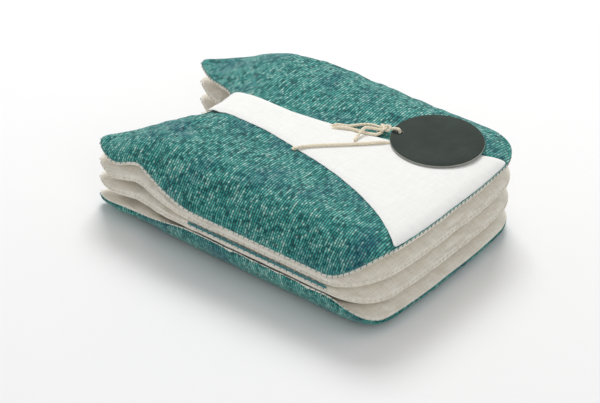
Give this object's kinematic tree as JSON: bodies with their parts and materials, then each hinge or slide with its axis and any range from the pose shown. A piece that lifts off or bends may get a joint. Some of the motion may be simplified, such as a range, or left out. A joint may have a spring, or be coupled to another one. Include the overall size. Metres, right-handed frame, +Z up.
{
  "type": "crinkle cloth book",
  "caption": "Padded cloth book in the shape of an eared animal's head, with pages that turn about a sewn spine and a round tag tied on with twine.",
  "frame": {"origin": "under the middle of the closed book, on the surface it lies on", "axes": "+Y from the chin to the ears, +Z up through the closed book, -X the sewn spine"},
  "size_m": [0.15, 0.2018, 0.0614],
  "materials": {
    "teal_cloth": "woven cotton, marled teal",
    "page_cloth": "plain woven cotton",
    "white_cloth": "smooth white cotton",
    "wadding": "polyester wadding",
    "crinkle_film": "thin crinkle film",
    "seam_thread": "sewing thread",
    "cotton_twine": "twisted cotton twine",
    "tag_card": "matt charcoal card"
  },
  "bodies": {
    "front_cover": {"front_cover_face_cloth": "teal_cloth", "front_cover_wadding": "wadding", "front_cover_crinkle_film": "crinkle_film", "front_cover_inner_cloth": "page_cloth", "face_band": "white_cloth", "twine_left": "cotton_twine", "twine_right_upper": "cotton_twine", "twine_right_lower": "cotton_twine", "twine_tail": "cotton_twine", "twine_knot": "cotton_twine"},
    "leaf_1": {"leaf_1_front_cloth": "page_cloth", "leaf_1_wadding": "wadding", "leaf_1_crinkle_film": "crinkle_film", "leaf_1_back_cloth": "page_cloth"},
    "leaf_2": {"leaf_2_front_cloth": "page_cloth", "leaf_2_wadding": "wadding", "leaf_2_crinkle_film": "crinkle_film", "leaf_2_back_cloth": "page_cloth"},
    "back_cover": {"back_cover_inner_cloth": "page_cloth", "back_cover_wadding": "wadding", "back_cover_crinkle_film": "crinkle_film", "back_cover_outer_cloth": "teal_cloth", "spine_seam": "seam_thread"},
    "hang_tag": {"hang_tag": "tag_card", "twine_tag_loop": "cotton_twine"}
  },
  "joints": [
    {"name": "leaf_2_turn", "type": "hinge", "parent": "back_cover", "child": "leaf_2", "pos_m": [-0.07405, 0, 0.0278], "axis": [0, -1, 0], "range_deg": [0, 180]},
    {"name": "leaf_1_turn", "type": "hinge", "parent": "leaf_2", "child": "leaf_1", "pos_m": [-0.07405, 0, 0.0278], "axis": [0, -1, 0], "range_deg": [0, 180]},
    {"name": "front_cover_turn", "type": "hinge", "parent": "leaf_1", "child": "front_cover", "pos_m": [-0.07405, 0, 0.0278], "axis": [0, -1, 0], "range_deg": [0, 180]},
    {"name": "hang_tag_flip", "type": "hinge", "parent": "front_cover", "child": "hang_tag", "pos_m": [0.02827, -0.03587, 0.0586], "axis": [-0.9483, -0.3173, 0], "range_deg": [0, 120]}
  ]
}
